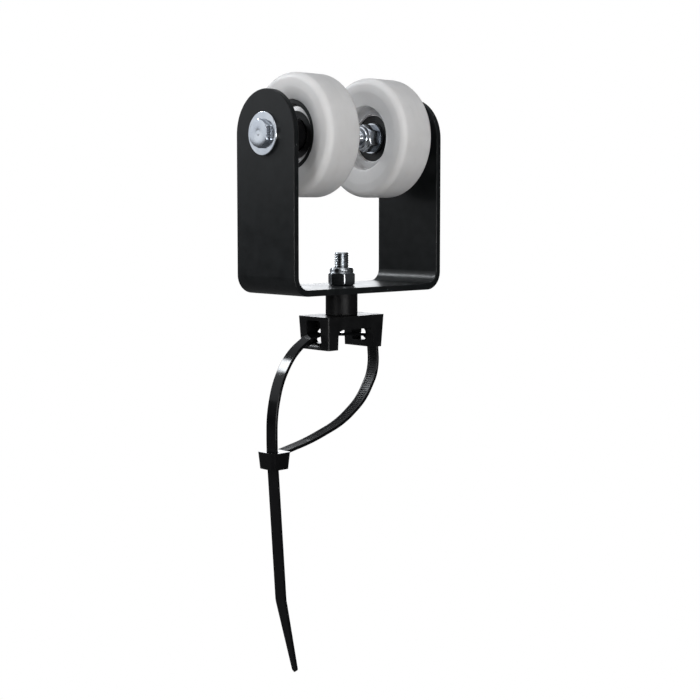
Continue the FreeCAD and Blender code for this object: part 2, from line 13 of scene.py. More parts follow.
import bmesh
import bpy
from mathutils import Matrix, Vector


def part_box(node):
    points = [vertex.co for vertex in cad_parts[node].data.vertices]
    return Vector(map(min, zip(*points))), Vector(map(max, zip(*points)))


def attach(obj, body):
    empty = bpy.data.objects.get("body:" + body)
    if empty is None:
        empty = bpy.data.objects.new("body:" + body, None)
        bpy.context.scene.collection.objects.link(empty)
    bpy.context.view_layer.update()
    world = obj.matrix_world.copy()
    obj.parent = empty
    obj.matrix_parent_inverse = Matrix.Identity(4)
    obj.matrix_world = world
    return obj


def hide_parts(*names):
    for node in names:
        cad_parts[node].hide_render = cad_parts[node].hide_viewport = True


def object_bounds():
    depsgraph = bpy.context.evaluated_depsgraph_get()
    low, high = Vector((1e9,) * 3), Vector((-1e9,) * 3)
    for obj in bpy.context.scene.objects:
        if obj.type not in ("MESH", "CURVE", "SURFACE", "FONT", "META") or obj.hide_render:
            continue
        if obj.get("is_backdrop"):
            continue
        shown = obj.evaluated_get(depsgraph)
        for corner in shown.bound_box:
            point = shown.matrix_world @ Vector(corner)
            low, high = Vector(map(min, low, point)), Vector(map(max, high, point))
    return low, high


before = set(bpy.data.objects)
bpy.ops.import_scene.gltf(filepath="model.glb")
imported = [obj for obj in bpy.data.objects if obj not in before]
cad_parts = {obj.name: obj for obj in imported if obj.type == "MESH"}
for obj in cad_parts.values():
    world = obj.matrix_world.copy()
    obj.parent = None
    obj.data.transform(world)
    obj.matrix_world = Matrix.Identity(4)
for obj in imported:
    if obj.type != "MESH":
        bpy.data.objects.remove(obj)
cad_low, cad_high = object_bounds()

scene = bpy.context.scene

# %% [markdown]
# ## Measures
# Blender works in metres here, and the trolley is easier to think of in millimetres, so a
# length is written as a number times `MM`. Heights and faces are read from the CAD nodes'
# boxes. A wheel turns about the axle line, which is level with the middle of the wheel.

# %% Measures taken from the frame
MM = 0.001


def box_mm(node):
    """A CAD node's lowest and highest corner, in millimetres."""
    low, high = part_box(node)
    return low / MM, high / MM


wheel_low, wheel_high = box_mm("wheel_left")
bracket_low, bracket_high = box_mm("bracket")
AXLE_Z = (wheel_low.z + wheel_high.z) / 2
BASE_Z = bracket_low.z
# Not measured: the facets of the CAD wheel make its box a hair smaller than the wheel.
WHEEL_RADIUS = 31.75
LEG_FACE = bracket_high.y
STRAP_HALF_WIDTH = bracket_high.x
print("axle line at", round(AXLE_Z, 2), "mm, bracket underside at", round(BASE_Z, 2), "mm")

# %% [markdown]
# ## Node helpers for finishes
# Every finish is a Principled BSDF fed by a few textures. The helpers below add a node,
# link it and return its output, so that each finish reads as a short list of what is on the
# surface: a slow variation, a fine grain, a scratch. Object coordinates are in metres, so a
# noise scale of 1000 makes grains about a millimetre across.

# %% Helpers that build shader nodes


class Finish:
    """A material under construction: its nodes, its links and its shader."""

    def __init__(self, name, color, roughness, metallic=0.0, specular=0.5):
        self.material = bpy.data.materials.new(name)
        self.material.use_nodes = True
        self.nodes = self.material.node_tree.nodes
        self.links = self.material.node_tree.links
        self.shader = self.nodes["Principled BSDF"]
        self.shader.inputs["Base Color"].default_value = (*color, 1)
        self.shader.inputs["Roughness"].default_value = roughness
        self.shader.inputs["Metallic"].default_value = metallic
        self.shader.inputs["Specular IOR Level"].default_value = specular
        self.place = self.nodes.new("ShaderNodeTexCoord").outputs["Object"]

    def plug(self, value, socket):
        if isinstance(value, bpy.types.NodeSocket):
            self.links.new(value, socket)
        else:
            socket.default_value = value

    def math(self, operation, a, b=0.0, clamp=False):
        node = self.nodes.new("ShaderNodeMath")
        node.operation = operation
        node.use_clamp = clamp
        self.plug(a, node.inputs[0])
        self.plug(b, node.inputs[1])
        return node.outputs[0]

    def stretched(self, scale):
        """Object coordinates with each axis scaled, to draw a texture out along a direction."""
        node = self.nodes.new("ShaderNodeMapping")
        node.inputs["Scale"].default_value = scale
        self.links.new(self.place, node.inputs["Vector"])
        return node.outputs[0]

    def noise(self, scale, detail=3.0, roughness=0.55, place=None):
        node = self.nodes.new("ShaderNodeTexNoise")
        node.inputs["Scale"].default_value = scale
        node.inputs["Detail"].default_value = detail
        node.inputs["Roughness"].default_value = roughness
        self.links.new(place or self.place, node.inputs["Vector"])
        return node.outputs["Fac"]

    def spread(self, value, low, high, from_low=0.3, from_high=0.7):
        """Maps a texture's usual range to low...high."""
        node = self.nodes.new("ShaderNodeMapRange")
        self.plug(value, node.inputs["Value"])
        node.inputs["From Min"].default_value = from_low
        node.inputs["From Max"].default_value = from_high
        node.inputs["To Min"].default_value = low
        node.inputs["To Max"].default_value = high
        return node.outputs[0]

    def tint(self, factor, first, second):
        """A mix of two colours; either may be a fixed colour or another texture's output."""
        node = self.nodes.new("ShaderNodeMix")
        node.data_type = "RGBA"
        self.plug(factor, node.inputs["Factor"])
        for socket, color in ((node.inputs[6], first), (node.inputs[7], second)):
            self.plug(color if isinstance(color, bpy.types.NodeSocket) else (*color, 1), socket)
        return node.outputs[2]

    def coordinate(self, axis):
        """One coordinate of the surface point, in millimetres."""
        split = self.nodes.new("ShaderNodeSeparateXYZ")
        self.links.new(self.place, split.inputs[0])
        return self.math("MULTIPLY", split.outputs[axis], 1 / MM)

    def length(self, one, two):
        total = self.math("ADD", self.math("POWER", one, 2), self.math("POWER", two, 2))
        return self.math("SQRT", total)

    def axle_distance(self):
        """Distance from the wheels' axle line, in millimetres."""
        return self.length(self.coordinate("X"), self.math("SUBTRACT", self.coordinate("Z"), AXLE_Z))

    def upright_distance(self):
        """Distance from the hanger bolt's axis, in millimetres."""
        return self.length(self.coordinate("X"), self.coordinate("Y"))

    def turning_rings(self, distance, radians_per_mm):
        """A wave that runs outwards from an axis, as a lathe's tool leaves it."""
        wave = self.nodes.new("ShaderNodeMath")
        wave.operation = "SINE"
        self.links.new(self.math("MULTIPLY", distance, radians_per_mm), wave.inputs[0])
        return wave.outputs[0]

    def color(self, value):
        self.links.new(value, self.shader.inputs["Base Color"])

    def roughness(self, value):
        self.links.new(value, self.shader.inputs["Roughness"])

    def bump(self, height, depth_mm, strength=1.0):
        """Adds relief of about depth_mm. Several calls stack."""
        node = self.nodes.new("ShaderNodeBump")
        node.inputs["Strength"].default_value = strength
        node.inputs["Distance"].default_value = depth_mm * MM
        self.links.new(height, node.inputs["Height"])
        socket = self.shader.inputs["Normal"]
        if socket.is_linked:
            self.links.new(socket.links[0].from_socket, node.inputs["Normal"])
        self.links.new(node.outputs["Normal"], socket)


print("finish helpers ready")

# %% [markdown]
# ## Powder coat
# The bracket is powder coated: a charcoal skin with a very fine pebble, a little uneven in
# sheen, that chips along the cut edges. The pebble is a small bump, and the chips come from
# a noise that only shows within a fraction of a millimetre of an edge of the strap.

# %% Powder coat for the bracket


def make_powder_coat():
    coat = Finish("black_powder_coat", (0.0050, 0.0055, 0.0060), 0.36, specular=0.19)
    cloud = coat.noise(180, detail=4)
    grain = coat.noise(2600, detail=2)
    dark, light = (0.0035, 0.0040, 0.0043), (0.0062, 0.0070, 0.0074)
    shade = coat.tint(coat.spread(cloud, 0, 1), dark, light)
    side = coat.math("ABSOLUTE", coat.coordinate("X"))
    on_round_top = coat.math("GREATER_THAN", coat.coordinate("Z"), AXLE_Z)
    radial = coat.math("MULTIPLY", coat.axle_distance(), on_round_top)
    outline = coat.math("MAXIMUM", side, radial)
    near_edge = coat.spread(outline, 0, 1, STRAP_HALF_WIDTH - 0.5, STRAP_HALF_WIDTH - 0.1)
    flakes = coat.spread(coat.noise(420, detail=5, roughness=0.7), 0, 1, 0.66, 0.70)
    chips = coat.math("MULTIPLY", near_edge, flakes, clamp=True)
    bare_steel = (0.30, 0.31, 0.32)
    coat.color(coat.tint(chips, shade, bare_steel))
    coat.roughness(coat.spread(cloud, 0.29, 0.37))
    coat.bump(grain, 0.05, 0.45)
    return coat.material


POWDER_COAT = make_powder_coat()
print("finish:", POWDER_COAT.name)

# %% [markdown]
# ## Zinc plate
# The washers and bolts are bright zinc: a bluish mirror, dulled by handling. The faces of the
# bolt heads keep the rings that the lathe left, so a wave runs outwards from the axle line.
# The hanger's fasteners are the same steel, a little duller, turned about the upright axis.

# %% Zinc finishes


def make_zinc(name, upright, pale, deep, roughness):
    zinc = Finish(name, pale, roughness, metallic=1.0)
    cloud = zinc.noise(110, detail=3, roughness=0.5)
    spots = zinc.noise(700, detail=2)
    distance = zinc.upright_distance() if upright else zinc.axle_distance()
    base = zinc.tint(zinc.spread(cloud, 0, 1), pale, deep)
    stain = (0.30, 0.29, 0.27)
    zinc.color(zinc.tint(zinc.spread(spots, 0, 0.25, 0.60, 0.75), base, stain))
    zinc.roughness(zinc.spread(cloud, roughness * 0.85, roughness * 1.2))
    zinc.bump(zinc.turning_rings(distance, 9.0), 0.002, 0.3)
    zinc.bump(spots, 0.002, 0.3)
    return zinc.material


BRIGHT_ZINC = make_zinc(
    "bright_zinc", upright=False, pale=(0.53, 0.555, 0.585), deep=(0.44, 0.47, 0.52), roughness=0.18
)
DULL_ZINC = make_zinc(
    "dull_zinc", upright=True, pale=(0.42, 0.44, 0.46), deep=(0.32, 0.34, 0.36), roughness=0.20
)
print("finishes:", BRIGHT_ZINC.name, DULL_ZINC.name)

# %% [markdown]
# ## White nylon
# The wheels are turned from white nylon. It is satin and shows very fine turning rings. Light
# goes some way into it and comes out again, which softens its shading. The tread, which rolls
# on aluminium, is a touch greyer in blotches.

# %% White nylon for the wheels


def make_white_nylon():
    nylon = Finish("white_nylon", (0.50, 0.495, 0.49), 0.42, specular=0.3)
    cloud = nylon.noise(70, detail=4)
    scuffs = nylon.noise(1, detail=4, roughness=0.6, place=nylon.stretched((90, 260, 90)))
    distance = nylon.axle_distance()
    clean = nylon.tint(nylon.spread(cloud, 0, 1), (0.475, 0.470, 0.468), (0.52, 0.515, 0.512))
    on_tread = nylon.spread(distance, 0, 1, WHEEL_RADIUS - 2.25, WHEEL_RADIUS - 0.15)
    worn = nylon.math("MULTIPLY", on_tread, nylon.spread(scuffs, 0, 0.3, 0.50, 0.80), clamp=True)
    rubbed = (0.41, 0.405, 0.40)
    nylon.color(nylon.tint(worn, clean, rubbed))
    nylon.roughness(nylon.spread(scuffs, 0.40, 0.50))
    nylon.bump(nylon.turning_rings(distance, 16.0), 0.004, 0.25)
    nylon.bump(scuffs, 0.01, 0.10)
    nylon.shader.inputs["Subsurface Weight"].default_value = 0.7
    nylon.shader.inputs["Subsurface Radius"].default_value = (0.0080, 0.0076, 0.0072)
    nylon.shader.inputs["Subsurface Scale"].default_value = 1.0
    return nylon.material


WHITE_NYLON = make_white_nylon()
print("finish:", WHITE_NYLON.name)

# %% [markdown]
# ## Black plastics, rubber and the bearing's steels
# The saddle and the retaining rings are satin black nylon with a moulded grain. The cable
# tie is glossier, with long shallow waves that break up its reflections, but its ribbed side
# is dull. The bearing's outer race, balls and cage are bare steel. The inner race is the same
# steel painted dark grey, as painted shade for the depth of the wheel's recess. One function
# makes them all, and each call says what differs.

# %% Plastics, rubber and bare steels


def make_plain_finish(
    name, dark, light, roughness, grain_scale, grain_depth, wave_depth=0.0, metallic=0.0, specular=0.5
):
    """A shade between dark and light, with a grain and, if wanted, a slow wave in the surface."""
    finish = Finish(name, dark, roughness, metallic=metallic, specular=specular)
    cloud = finish.noise(140, detail=4)
    grain = finish.noise(grain_scale, detail=3)
    finish.color(finish.tint(finish.spread(cloud, 0, 1), dark, light))
    finish.roughness(finish.spread(cloud, roughness * 0.8, roughness * 1.2))
    finish.bump(grain, grain_depth, 0.4)
    if wave_depth:
        finish.bump(finish.noise(95, detail=1), wave_depth, 0.5)
    return finish.material


def grey(value, blue=0.0):
    """A neutral colour, made slightly bluer if wanted."""
    return value, value, value + blue


SADDLE_NYLON = make_plain_finish(
    "black_moulded_nylon", grey(0.0025, 0.0003), grey(0.0045, 0.0003), 0.34, 1900, 0.02, specular=0.2
)
TIE_DARK, TIE_LIGHT = grey(0.0015, 0.0003), grey(0.0030, 0.0003)
TIE_NYLON = make_plain_finish(
    "glossy_tie_nylon", TIE_DARK, TIE_LIGHT, 0.13, 1500, 0.001, wave_depth=0.010, specular=0.15
)
TEETH_NYLON = make_plain_finish("ribbed_tie_nylon", TIE_DARK, TIE_LIGHT, 0.48, 1500, 0.005, specular=0.25)
RETAINER_NYLON = make_plain_finish("black_nylon", grey(0.003), grey(0.006), 0.40, 1700, 0.03, specular=0.35)
SEAL_RUBBER = make_plain_finish(
    "black_seal_rubber", grey(0.004), grey(0.007), 0.45, 1500, 0.03, specular=0.35
)
BLACK_OXIDE = make_plain_finish(
    "black_oxide_steel", grey(0.0035, 0.0003), grey(0.0065, 0.0003), 0.42, 2200, 0.02, specular=0.08
)
BEARING_STEEL = make_plain_finish(
    "ground_bearing_steel", (0.88, 0.86, 0.85), (0.95, 0.93, 0.92), 0.30, 2400, 0.006, metallic=1.0
)
# The inner race is ground bearing steel like the outer race; this dark grey is painted shade for the recess it
# sits in.
SHADED_RACE_STEEL = make_plain_finish("dark_race_steel", grey(0.05), grey(0.08), 0.25, 2400, 0.005, metallic=1.0)
BALL_STEEL = make_plain_finish(
    "polished_balls", grey(0.72, 0.01), grey(0.80, 0.01), 0.08, 900, 0.003, metallic=1.0
)
CAGE_STEEL = make_plain_finish(
    "pressed_cage_steel", (0.40, 0.39, 0.37), (0.52, 0.51, 0.50), 0.34, 1500, 0.02, metallic=1.0
)
LOCK_RING = make_plain_finish("locking_nylon", (0.55, 0.56, 0.58), (0.66, 0.67, 0.69), 0.45, 1300, 0.02)
print("tie finishes:", TIE_NYLON.name, TEETH_NYLON.name)

# %% [markdown]
# ## CAD nodes that keep their shape
# The bracket, washers, sleeves, retaining rings, locking rings and bearing pieces are already
# right, so each node only gets its finish. The other nodes are replaced further on.

# %% Finish the CAD nodes that stay
KEPT_NODES = {
    "bracket": POWDER_COAT,
    "hanger_sleeve": BLACK_OXIDE,
    "hanger_nut_ring": LOCK_RING,
}
SIDED_NODES = {
    "outer_washer": BRIGHT_ZINC,
    "inner_washer": BRIGHT_ZINC,
    "hub_sleeve": BLACK_OXIDE,
    "bearing_retainer": RETAINER_NYLON,
    "bearing_outer_race": BEARING_STEEL,
    "bearing_inner_race": SHADED_RACE_STEEL,
    "bearing_seals": SEAL_RUBBER,
    "bearing_balls": BALL_STEEL,
    "bearing_cage": CAGE_STEEL,
    "axle_nut_ring": LOCK_RING,
}
for node, material in SIDED_NODES.items():
    for side in ("left", "right"):
        KEPT_NODES[f"{node}_{side}"] = material
for node, material in KEPT_NODES.items():
    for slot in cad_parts[node].material_slots:
        slot.material = material
print("finished CAD nodes:", len(KEPT_NODES))

# %% [markdown]
# ## From points to a piece
# New pieces are made as meshes. `new_piece` turns a bmesh into an object whose faces point
# outwards and whose shading is smooth except at real corners. `stand` says where a piece that
# was drawn upright at the origin goes: along an axle, or on the hanger's axis.

# %% Piece helpers


def new_piece(name, mesh_builder, material, corner=32):
    bmesh.ops.recalc_face_normals(mesh_builder, faces=mesh_builder.faces)
    mesh = bpy.data.meshes.new(name)
    mesh_builder.to_mesh(mesh)
    mesh_builder.free()
    mesh.materials.append(material)
    mesh.shade_smooth()
    mesh.set_sharp_from_angle(angle=math.radians(corner))
    piece = bpy.data.objects.new(name, mesh)
    scene.collection.objects.link(piece)
    return piece


def on_axle(side, distance_out, head_outwards):
    """Places an upright drawing on the left (+1) or right (-1) axle, its top facing out or in."""
    towards = side if head_outwards else -side
    turn = Matrix.Rotation(math.radians(-90 * towards), 4, "X")
    return Matrix.Translation((0, side * distance_out * MM, AXLE_Z * MM)) @ turn


def upright(height, upside_down=False):
    turn = Matrix.Rotation(math.pi, 4, "X") if upside_down else Matrix.Identity(4)
    return Matrix.Translation((0, 0, height * MM)) @ turn


def finish_piece(piece, stand, body, slot, *nodes):
    """Puts the piece in its place, lets it ride on its body and hides the nodes it stands for."""
    piece.data.transform(stand)
    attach(piece, body)
    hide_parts(*nodes)
    print(piece.name, "faces:", len(piece.data.polygons))


print("piece helpers ready")

# %% [markdown]
# ## Turned pieces
# A wheel is a body of revolution, so its outline is drawn once, with a rounding at each
# corner, and swept round the axis. `soft_outline` draws the arcs, and `swept_rings` joins the
# rings. A ring may also be a hexagon, because its radius can depend on the angle.

# %% Outlines and rings


def arc_points(middle, first, last, steps):
    """Points on the arc about the middle, between two arms of the same length."""
    sweep = first.angle(last)
    points = []
    for step in range(steps + 1):
        share = step / steps
        arm = (first * math.sin((1 - share) * sweep) + last * math.sin(share * sweep)) / math.sin(sweep)
        points.append(middle + arm)
    return points


def soft_outline(corners, steps):
    """A closed outline from (radius, height, rounding) corners, in millimetres."""
    outline = []
    count = len(corners)
    for i, corner in enumerate(corners):
        here = Vector(corner[:2])
        rounding = corner[2] if len(corner) > 2 else 0
        if not rounding:
            outline.append(tuple(here))
            continue
        back = (Vector(corners[i - 1][:2]) - here).normalized()
        ahead = (Vector(corners[(i + 1) % count][:2]) - here).normalized()
        half_angle = back.angle(ahead) / 2
        reach = rounding / math.tan(half_angle)
        middle = here + (back + ahead).normalized() * (rounding / math.sin(half_angle))
        first = here + back * reach - middle
        last = here + ahead * reach - middle
        outline += [tuple(spot) for spot in arc_points(middle, first, last, steps)]
    return outline


def swept_rings(rings, segments, closed):
    """Joins rings into a skin. A ring is (radius, height) or a function of the angle that gives both."""
    builder = bmesh.new()
    loops = []
    for ring in rings:
        loop = []
        for i in range(segments):
            angle = 2 * math.pi * i / segments
            radius, height = ring(angle) if callable(ring) else ring
            if radius <= 0:
                loop = [builder.verts.new((0, 0, height * MM))]
                break
            spot = (radius * math.cos(angle) * MM, radius * math.sin(angle) * MM, height * MM)
            loop.append(builder.verts.new(spot))
        loops.append(loop)
    pairs = list(zip(loops, loops[1:]))
    if closed:
        pairs.append((loops[-1], loops[0]))
    for lower, upper in pairs:
        for i in range(segments):
            j = (i + 1) % segments
            corners = [lower[i % len(lower)], lower[j % len(lower)]]
            corners += [upper[j % len(upper)], upper[i % len(upper)]]
            unique = list(dict.fromkeys(corners))
            if len(unique) > 2:
                builder.faces.new(unique)
    return builder


print("outline helpers ready")

# %% [markdown]
# ## The wheels
# Each wheel has a wide tread with rounded shoulders, a shallow dish in each face, a seat for
# the bearing and a deeper recess for the lock nut on the inner side. The CAD node shows
# facets along the tread, so a finer wheel with the same outline stands for it.

# %% Wheels
WHEEL_SEGMENTS = 160
WHEEL_OUTLINE = [
    (12.6, 23.0),
    (12.6, 21.5, 0.4),
    (17.0, 21.5, 0.8),
    (17.0, 16.0, 0.6),
    (24.5, 14.8, 8.0),
    (WHEEL_RADIUS, 14.8, 3.6),
    (WHEEL_RADIUS, 37.0, 3.6),
    (24.5, 37.0, 8.0),
    (18.0, 35.8, 0.6),
    (18.0, 32.0),
    (15.0, 32.0),
    (15.0, 23.0),
]
for side, sign in (("left", 1), ("right", -1)):
    wheel_skin = swept_rings(soft_outline(WHEEL_OUTLINE, steps=8), WHEEL_SEGMENTS, closed=True)
    wheel = new_piece(f"nylon_wheel_{side}", wheel_skin, WHITE_NYLON)
    finish_piece(wheel, on_axle(sign, 0, True), f"wheel_{side}", "white_nylon", f"wheel_{side}")

# %% [markdown]
# ## Hexagons
# A bolt head and a nut are hexagons whose corners are cut back by a cone. In polar form the
# hexagon's radius is its half width over the cosine of the angle from the middle of a flat.
# A high power mean rounds the corners slightly, as forging does.

# %% Hexagonal rings
ACROSS_FLATS = 13.0
CONE_SLOPE = math.tan(math.radians(30))
CORNER_SHARPNESS = 44
TURNED_SEGMENTS = 96


def hexagon_radius(angle, inset=0.0):
    """The hexagon's radius at an angle, with its flats moved inwards by the inset."""
    cosines = [max(0.0, math.cos(angle - math.radians(60 * k))) for k in range(6)]
    total = sum(cosine**CORNER_SHARPNESS for cosine in cosines)
    return (ACROSS_FLATS / 2 - inset) / total ** (1 / CORNER_SHARPNESS)


def hexagon_ring(face_height, face_radius, upwards, drop=0.0, inset=0.0):
    """The hexagon's edge where the cone cuts it; drop moves it further from the face."""

    def ring(angle):
        radius = hexagon_radius(angle, inset)
        cut = max(0.0, radius - face_radius) * CONE_SLOPE + drop
        return radius, face_height - cut if upwards else face_height + cut

    return ring


def flat_hexagon_ring(height, inset=0.0):
    return lambda angle: (hexagon_radius(angle, inset), height)


print("hexagon corner radius:", round(hexagon_radius(math.radians(30)), 2), "mm")

# %% [markdown]
# ## The thread
# A thread is one groove wound round a cylinder, which is a rule and not a shape to draw. A
# Geometry Nodes tree makes a fine cylinder and pulls each point inwards by an amount that
# depends on its height and its angle together: that turns the groove into a helix. The same
# tree cuts the small cone at the bolt's tip. The cylinder stands on the origin, tip up.

# %% A Geometry Nodes tree that cuts a thread


class Tree:
    """A Geometry Nodes tree under construction, with a few shortcuts."""

    def __init__(self, name, inputs):
        self.group = bpy.data.node_groups.new(name, "GeometryNodeTree")
        self.nodes = self.group.nodes
        self.links = self.group.links
        for label, kind, value in inputs:
            socket = self.group.interface.new_socket(label, in_out="INPUT", socket_type=kind)
            if value is not None:
                socket.default_value = value
        self.group.interface.new_socket("Geometry", in_out="OUTPUT", socket_type="NodeSocketGeometry")
        self.start = self.nodes.new("NodeGroupInput").outputs
        self.end = self.nodes.new("NodeGroupOutput").inputs["Geometry"]

    def add(self, kind, inputs=None, **settings):
        node = self.nodes.new(kind)
        for name, value in settings.items():
            setattr(node, name, value)
        for name, value in (inputs or {}).items():
            if isinstance(value, bpy.types.NodeSocket):
                self.links.new(value, node.inputs[name])
            else:
                node.inputs[name].default_value = value
        return node

    def math(self, operation, a, b=0.0):
        return self.add("ShaderNodeMath", {0: a, 1: b}, operation=operation).outputs[0]

    def finish(self, geometry):
        real = self.add("GeometryNodeRealizeInstances", {"Geometry": geometry}).outputs[0]
        painted = self.add("GeometryNodeSetMaterial", {"Geometry": real, "Material": self.start["Material"]})
        self.links.new(painted.outputs[0], self.end)
        return self.group


def make_thread_tree():
    tree = Tree(
        "bolt_thread",
        [
            ("Radius", "NodeSocketFloat", 0.004),
            ("Length", "NodeSocketFloat", 0.022),
            ("Pitch", "NodeSocketFloat", 0.00125),
            ("Groove Depth", "NodeSocketFloat", 0.0006),
            ("Tip Chamfer", "NodeSocketFloat", 0.0008),
            ("Rows", "NodeSocketInt", 150),
            ("Material", "NodeSocketMaterial", None),
        ],
    )
    given = tree.start
    size = {"Vertices": 40, "Side Segments": given["Rows"], "Radius": given["Radius"], "Depth": given["Length"]}
    cylinder = tree.add("GeometryNodeMeshCylinder", size).outputs["Mesh"]
    place = tree.add("GeometryNodeInputPosition").outputs[0]
    split = tree.add("ShaderNodeSeparateXYZ", {0: place}).outputs
    height = tree.math("ADD", split["Z"], tree.math("MULTIPLY", given["Length"], 0.5))
    turn = tree.math("DIVIDE", tree.math("ARCTAN2", split["Y"], split["X"]), 2 * math.pi)
    phase = tree.math("FRACT", tree.math("SUBTRACT", tree.math("DIVIDE", height, given["Pitch"]), turn))
    ridge = tree.math("ABSOLUTE", tree.math("SUBTRACT", tree.math("MULTIPLY", phase, 2.0), 1.0))
    slope = tree.math("MULTIPLY", tree.math("SUBTRACT", 1.0, ridge), 1.25)
    flank = tree.math("MINIMUM", slope, 1.0)
    threaded = tree.math("SUBTRACT", given["Radius"], tree.math("MULTIPLY", flank, given["Groove Depth"]))
    below_tip = tree.math("SUBTRACT", given["Length"], height)
    cone = tree.math("ADD", tree.math("SUBTRACT", given["Radius"], given["Tip Chamfer"]), below_tip)
    wanted = tree.math("MINIMUM", threaded, cone)
    flat = tree.add("ShaderNodeCombineXYZ", {"X": split["X"], "Y": split["Y"]}).outputs[0]
    length = tree.add("ShaderNodeVectorMath", {0: flat}, operation="LENGTH").outputs["Value"]
    on_side = tree.math("GREATER_THAN", length, 0.001)
    outward = tree.add("ShaderNodeVectorMath", {0: flat}, operation="NORMALIZE").outputs[0]
    scaled = tree.add("ShaderNodeVectorMath", {0: outward, "Scale": wanted}, operation="SCALE").outputs[0]
    rise = tree.add("ShaderNodeCombineXYZ", {"Z": height}).outputs[0]
    moved = tree.add("ShaderNodeVectorMath", {0: scaled, 1: rise}, operation="ADD").outputs[0]
    change = {"Geometry": cylinder, "Selection": on_side, "Position": moved}
    return tree.finish(tree.add("GeometryNodeSetPosition", change).outputs[0])


def made_by(tree, base_mesh, **inputs):
    """The plain mesh that a tree makes from a base mesh with these inputs."""
    holder = bpy.data.objects.new("holder", base_mesh)
    scene.collection.objects.link(holder)
    modifier = holder.modifiers.new("tree", "NODES")
    modifier.node_group = tree
    for item in tree.interface.items_tree:
        label = item.name.replace(" ", "_")
        if item.in_out == "INPUT" and label in inputs:
            modifier[item.identifier] = inputs[label]
    bpy.context.view_layer.update()
    seen = bpy.context.evaluated_depsgraph_get()
    mesh = bpy.data.meshes.new_from_object(holder.evaluated_get(seen))
    holder.modifiers.remove(modifier)
    bpy.data.objects.remove(holder)
    return mesh


THREAD_TREE = make_thread_tree()
print("thread tree nodes:", len(THREAD_TREE.nodes))

# %% [markdown]
# ## Bolts
# A bolt is drawn upright: the head's underside on the origin, the head above, the shank
# below. The rings go from the middle of the head's face, over the rounded rim and the cone,
# down the flats and along the plain shank. The threaded part joins on below.

# %% Bolts
BOLT_RADIUS = 4.0
FACE_RADIUS = 6.9
AXLE_HEAD_HEIGHT = 2.6
AXLE_BOLT_LENGTH = 45.0
HANGER_HEAD_HEIGHT = 5.3
HANGER_BOLT_LENGTH = 35.0
WASHER_THICKNESS = 1.6
THREAD_LENGTH = 22.0
THREAD_PITCH = 1.25
THREAD_DEPTH = 0.55
TIP_CHAMFER = 0.8
THREAD_ROWS_PER_TURN = 8


def bolt_builder(head_height, length, material):
    plain_end = THREAD_LENGTH - length
    rings = [
        (0, head_height),
        (1.1, head_height),
        (1.4, head_height - 0.05),
        (1.7, head_height),
        (FACE_RADIUS - 0.30, head_height),
        (FACE_RADIUS - 0.05, head_height - 0.05),
        hexagon_ring(head_height, FACE_RADIUS, True, inset=0.14),
        hexagon_ring(head_height, FACE_RADIUS, True, drop=0.06, inset=0.03),
        hexagon_ring(head_height, FACE_RADIUS, True, drop=0.25),
        flat_hexagon_ring(0.35),
        flat_hexagon_ring(0.10, inset=0.05),
        flat_hexagon_ring(0.0, inset=0.20),
        (BOLT_RADIUS + 0.3, 0),
        (BOLT_RADIUS, -0.3),
        (BOLT_RADIUS, plain_end),
        (BOLT_RADIUS - 0.6, plain_end - 0.3),
        (0, plain_end - 0.3),
    ]
    builder = swept_rings(rings, TURNED_SEGMENTS, closed=False)
    thread = made_by(
        THREAD_TREE,
        bpy.data.meshes.new("empty"),
        Radius=BOLT_RADIUS * MM,
        Length=THREAD_LENGTH * MM,
        Pitch=THREAD_PITCH * MM,
        Groove_Depth=THREAD_DEPTH * MM,
        Tip_Chamfer=TIP_CHAMFER * MM,
        Rows=int(THREAD_LENGTH / THREAD_PITCH * THREAD_ROWS_PER_TURN),
        Material=material,
    )
    thread.transform(upright(plain_end, upside_down=True))
    builder.from_mesh(thread)
    return builder


def make_bolt(node, head_height, length, stand, body, slot, material):
    bolt = new_piece(f"hex_{node}", bolt_builder(head_height, length, material), material, corner=40)
    finish_piece(bolt, stand, body, slot, node)


for side, sign in (("left", 1), ("right", -1)):
    stand = on_axle(sign, LEG_FACE + WASHER_THICKNESS, True)
    node = f"axle_bolt_{side}"
    make_bolt(node, AXLE_HEAD_HEIGHT, AXLE_BOLT_LENGTH, stand, "bracket_frame", "bright_zinc", BRIGHT_ZINC)
hanger_foot = box_mm("hanger_bolt")[0].z
stand = upright(hanger_foot + HANGER_HEAD_HEIGHT, upside_down=True)
make_bolt("hanger_bolt", HANGER_HEAD_HEIGHT, HANGER_BOLT_LENGTH, stand, "hanger", "dull_zinc", DULL_ZINC)

# %% [markdown]
# ## Lock nuts
# Each lock nut has a hexagon chamfered at both ends and a rounded collar that grips a polymer
# ring. The rings below run up the outside, over the collar and back down the bore, so the
# skin closes on itself.

# %% Lock nuts
NUT_HEIGHT = 9.5
NUT_HEX_HEIGHT = 6.6
COLLAR_RADIUS = 6.3
COLLAR_ROUNDING = 1.3
COLLAR_STEPS = 8
NUT_FOOT_RADIUS = 6.2
NUT_SHOULDER_RADIUS = 6.35
BORE_RADIUS = 4.06
RING_RADIUS = 5.02
RING_TOP = NUT_HEIGHT - 0.88
RING_FOOT = NUT_HEIGHT - 2.92


